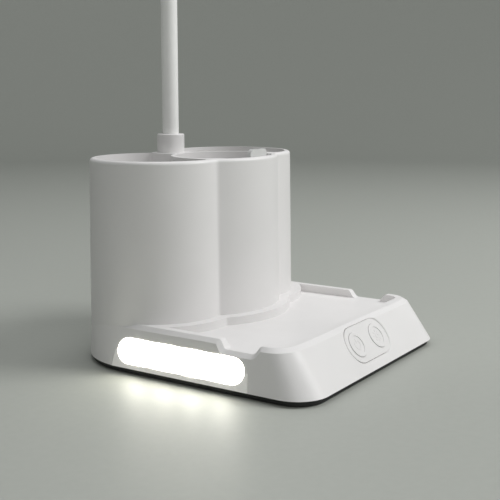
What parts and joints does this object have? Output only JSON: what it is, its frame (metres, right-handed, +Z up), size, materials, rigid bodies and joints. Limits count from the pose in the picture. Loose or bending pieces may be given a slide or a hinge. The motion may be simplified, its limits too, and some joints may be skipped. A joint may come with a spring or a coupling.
{
  "type": "desk lamp with pen tower and phone tray",
  "caption": "White desk lamp: pen tower with pockets, notched phone tray, side night light, two buttons, gooseneck and slim LED head.",
  "frame": {"origin": "middle of the base's footprint on the table", "axes": "+Z up, -Y the sloped front with the buttons, +X the object's right seen from its front"},
  "size_m": [0.14, 0.2885, 0.3084],
  "materials": {
    "white_plastic": "fine satin moulded ABS, slightly warm white",
    "black_plastic": "matt black moulded plate",
    "frosted_plastic": "milky polycarbonate, satin",
    "lit_diffuser": "milky polycarbonate lit from behind",
    "rubber": "matt soft rubber",
    "steel": "zinc plated",
    "cell_wrap": "steel can in a shrunk blue sleeve",
    "neck_core": "white silicone sleeve over a coiled core",
    "circuit_board": "glass-fibre board with green mask",
    "led": "phosphor yellow",
    "switch_black": "moulded switch bodies"
  },
  "bodies": {
    "base": {"body_shell": "white_plastic", "button_panel": "white_plastic", "tact_switches": "switch_black", "button_board": "circuit_board", "board_screws": "steel", "night_light_housing": "white_plastic", "night_light_diffuser": "lit_diffuser", "night_light_board": "circuit_board", "night_light_leds": "led", "bottom_plate": "black_plastic", "plate_screws": "steel", "rubber_feet": "rubber", "ballast": "steel", "battery_cell": "cell_wrap", "battery_cradle": "white_plastic", "main_board": "circuit_board", "usb_socket": "steel", "neck_collar": "white_plastic", "neck_washer": "steel", "neck_nut": "steel", "neck_root": "neck_core"},
    "phone_rest": {"phone_rest": "frosted_plastic"},
    "power_button": {"power_button": "white_plastic", "power_button_plunger": "white_plastic"},
    "night_light_button": {"night_light_button": "white_plastic", "night_light_button_plunger": "white_plastic"},
    "neck_1": {"neck_link_1": "neck_core"},
    "neck_2": {"neck_link_2": "neck_core"},
    "neck_3": {"neck_link_3": "neck_core"},
    "neck_4": {"neck_link_4": "neck_core"},
    "neck_5": {"neck_link_5": "neck_core"},
    "neck_6": {"neck_link_6": "neck_core"},
    "neck_7": {"neck_link_7": "neck_core"},
    "neck_8": {"neck_link_8": "neck_core"},
    "neck_9": {"neck_link_9": "neck_core"},
    "head": {"neck_link_10": "neck_core", "head_cover": "white_plastic", "head_nut": "steel", "head_frame": "white_plastic", "head_diffuser": "lit_diffuser", "head_board": "circuit_board", "head_leds": "led", "head_board_screws": "steel"}
  },
  "joints": [
    {"name": "neck_lower_bend", "type": "hinge", "parent": "base", "child": "neck_1", "pos_m": [0, 0.0535, 0.1258], "axis": [1, 0, 0], "range_deg": [-12, 12]},
    {"name": "neck_side_bend", "type": "hinge", "parent": "neck_1", "child": "neck_2", "pos_m": [0, 0.0535, 0.1518], "axis": [0, 1, 0], "range_deg": [-15, 15]},
    {"name": "neck_lower_bend_2", "type": "hinge", "parent": "neck_2", "child": "neck_3", "pos_m": [0, 0.0535, 0.1778], "axis": [1, 0, 0], "range_deg": [-12, 12]},
    {"name": "neck_side_bend_2", "type": "hinge", "parent": "neck_3", "child": "neck_4", "pos_m": [0, 0.0535, 0.2038], "axis": [0, 1, 0], "range_deg": [-15, 15]},
    {"name": "neck_upper_bend", "type": "hinge", "parent": "neck_4", "child": "neck_5", "pos_m": [0, 0.0535, 0.2298], "axis": [1, 0, 0], "range_deg": [-15, 7]},
    {"name": "neck_upper_bend_2", "type": "hinge", "parent": "neck_5", "child": "neck_6", "pos_m": [0, 0.04781, 0.25105], "axis": [1, 0, 0], "range_deg": [-15, 7]},
    {"name": "neck_upper_bend_3", "type": "hinge", "parent": "neck_6", "child": "neck_7", "pos_m": [0, 0.03681, 0.2701], "axis": [1, 0, 0], "range_deg": [-15, 7]},
    {"name": "neck_upper_bend_4", "type": "hinge", "parent": "neck_7", "child": "neck_8", "pos_m": [0, 0.02125, 0.28566], "axis": [1, 0, 0], "range_deg": [-15, 7]},
    {"name": "neck_upper_bend_5", "type": "hinge", "parent": "neck_8", "child": "neck_9", "pos_m": [0, 0.0022, 0.29666], "axis": [1, 0, 0], "range_deg": [-15, 7]},
    {"name": "neck_upper_bend_6", "type": "hinge", "parent": "neck_9", "child": "head", "pos_m": [0, -0.01905, 0.30235], "axis": [1, 0, 0], "range_deg": [-15, 7]},
    {"name": "power_button_press", "type": "slide", "parent": "base", "child": "power_button", "axis": [0, 0.8194, -0.5732], "range_m": [0, 0.0008], "stiffness_N_per_m": 900, "springref_m": -0.0004},
    {"name": "night_light_button_press", "type": "slide", "parent": "base", "child": "night_light_button", "axis": [0, 0.8194, -0.5732], "range_m": [0, 0.0008], "stiffness_N_per_m": 900, "springref_m": -0.0004},
    {"name": "phone_rest_lift", "type": "slide", "parent": "base", "child": "phone_rest", "axis": [0, 0, 1], "range_m": [0, 0.045]}
  ],
  "couplings": [
    {"joint": "neck_lower_bend_2", "follows": "neck_lower_bend", "ratio": 1},
    {"joint": "neck_side_bend_2", "follows": "neck_side_bend", "ratio": 1},
    {"joint": "neck_upper_bend_2", "follows": "neck_upper_bend", "ratio": 1},
    {"joint": "neck_upper_bend_3", "follows": "neck_upper_bend", "ratio": 1},
    {"joint": "neck_upper_bend_4", "follows": "neck_upper_bend", "ratio": 1},
    {"joint": "neck_upper_bend_5", "follows": "neck_upper_bend", "ratio": 1},
    {"joint": "neck_upper_bend_6", "follows": "neck_upper_bend", "ratio": 1}
  ]
}
